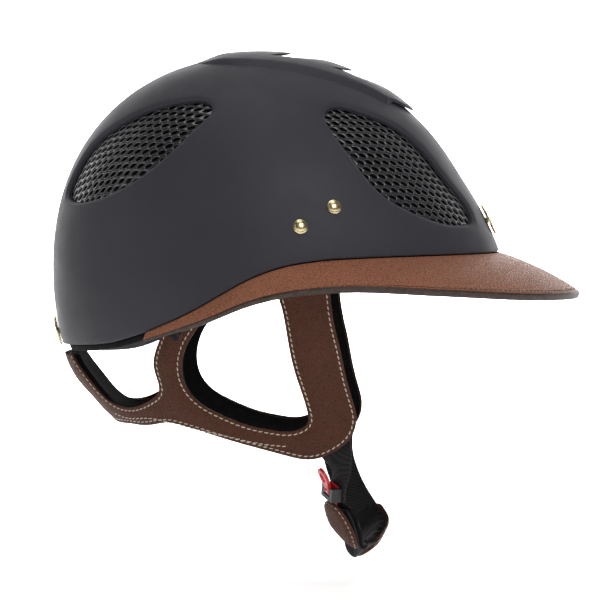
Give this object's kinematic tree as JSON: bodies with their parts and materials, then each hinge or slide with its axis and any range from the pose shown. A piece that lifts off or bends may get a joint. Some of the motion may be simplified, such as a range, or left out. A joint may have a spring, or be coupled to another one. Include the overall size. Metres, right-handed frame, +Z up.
{
  "type": "equestrian riding helmet",
  "caption": "Riding helmet with wide leather brim, mesh vents, scaled crown band, leather harness and a ratchet-buckled chin strap.",
  "frame": {"origin": "centre of the wearer's head inside the helmet, on the median plane, at ear height", "axes": "+X towards the brim, +Y to the wearer's left, +Z up through the crown"},
  "size_m": [0.3198, 0.2456, 0.307],
  "materials": {
    "shell": "matt soft-touch moulded shell",
    "net": "gloss black coated wire net",
    "foam": "dark expanded foam",
    "comfort": "black knitted comfort fabric",
    "brim_leather": "pebbled tan-brown leather with cream stitching",
    "harness_leather": "pebbled brown leather with cream stitching",
    "edge": "dark painted leather edge",
    "brass": "polished pale brass",
    "web": "black woven polyester webbing",
    "red": "red moulded plastic",
    "black_plastic": "black moulded plastic",
    "steel": "plain steel",
    "board": "stiff moulded board"
  },
  "bodies": {
    "helmet": {"outer_shell": "shell", "crown_band": "shell", "foam_liner": "foam", "liner_edge_trim": "comfort", "headband_pad": "comfort", "crown_pad": "comfort", "liner_mesh": "comfort", "brim_top_leather": "brim_leather", "brim_board": "board", "brim_under_leather": "brim_leather", "brim_edge_binding": "edge", "harness_leather": "harness_leather", "harness_lining": "comfort", "harness_rivets": "brass", "rivet_washers": "steel", "front_badge": "brass", "rear_badge": "brass", "strap_anchor_right": "black_plastic", "strap_anchor_left": "black_plastic", "strap_pin_right": "steel", "strap_pin_left": "steel", "grille_front_right": "net", "window_frame_front_right": "black_plastic", "anchor_web_front_right": "web", "grille_front_left": "net", "window_frame_front_left": "black_plastic", "anchor_web_front_left": "web", "grille_rear_right": "net", "window_frame_rear_right": "black_plastic", "anchor_web_rear_right": "web", "grille_rear_left": "net", "window_frame_rear_left": "black_plastic", "anchor_web_rear_left": "web"},
    "chin_strap": {"chin_web_right": "web", "chin_web_left": "web", "chin_pad_leather_right": "harness_leather", "chin_pad_leather_left": "harness_leather", "chin_pad_lining": "comfort", "buckle_body": "black_plastic", "lever_pin": "steel", "lever_spring": "steel"},
    "buckle_lever": {"buckle_lever": "red"},
    "ratchet_tongue": {"ratchet_tongue": "red"}
  },
  "joints": [
    {"name": "chin_strap_swing", "type": "hinge", "parent": "helmet", "child": "chin_strap", "pos_m": [0.04, 0, -0.08], "axis": [0, 1, 0], "range_deg": [-12, 12]},
    {"name": "buckle_lever_lift", "type": "hinge", "parent": "chin_strap", "child": "buckle_lever", "pos_m": [0.03749, -0.05321, -0.11207], "axis": [0.4274, -0.8595, -0.2805], "range_deg": [0, 30], "stiffness_Nm_per_rad": 0.02},
    {"name": "ratchet_tongue_slide", "type": "slide", "parent": "chin_strap", "child": "ratchet_tongue", "axis": [0.0922, -0.2672, 0.9592], "range_m": [0, 0.005]}
  ]
}
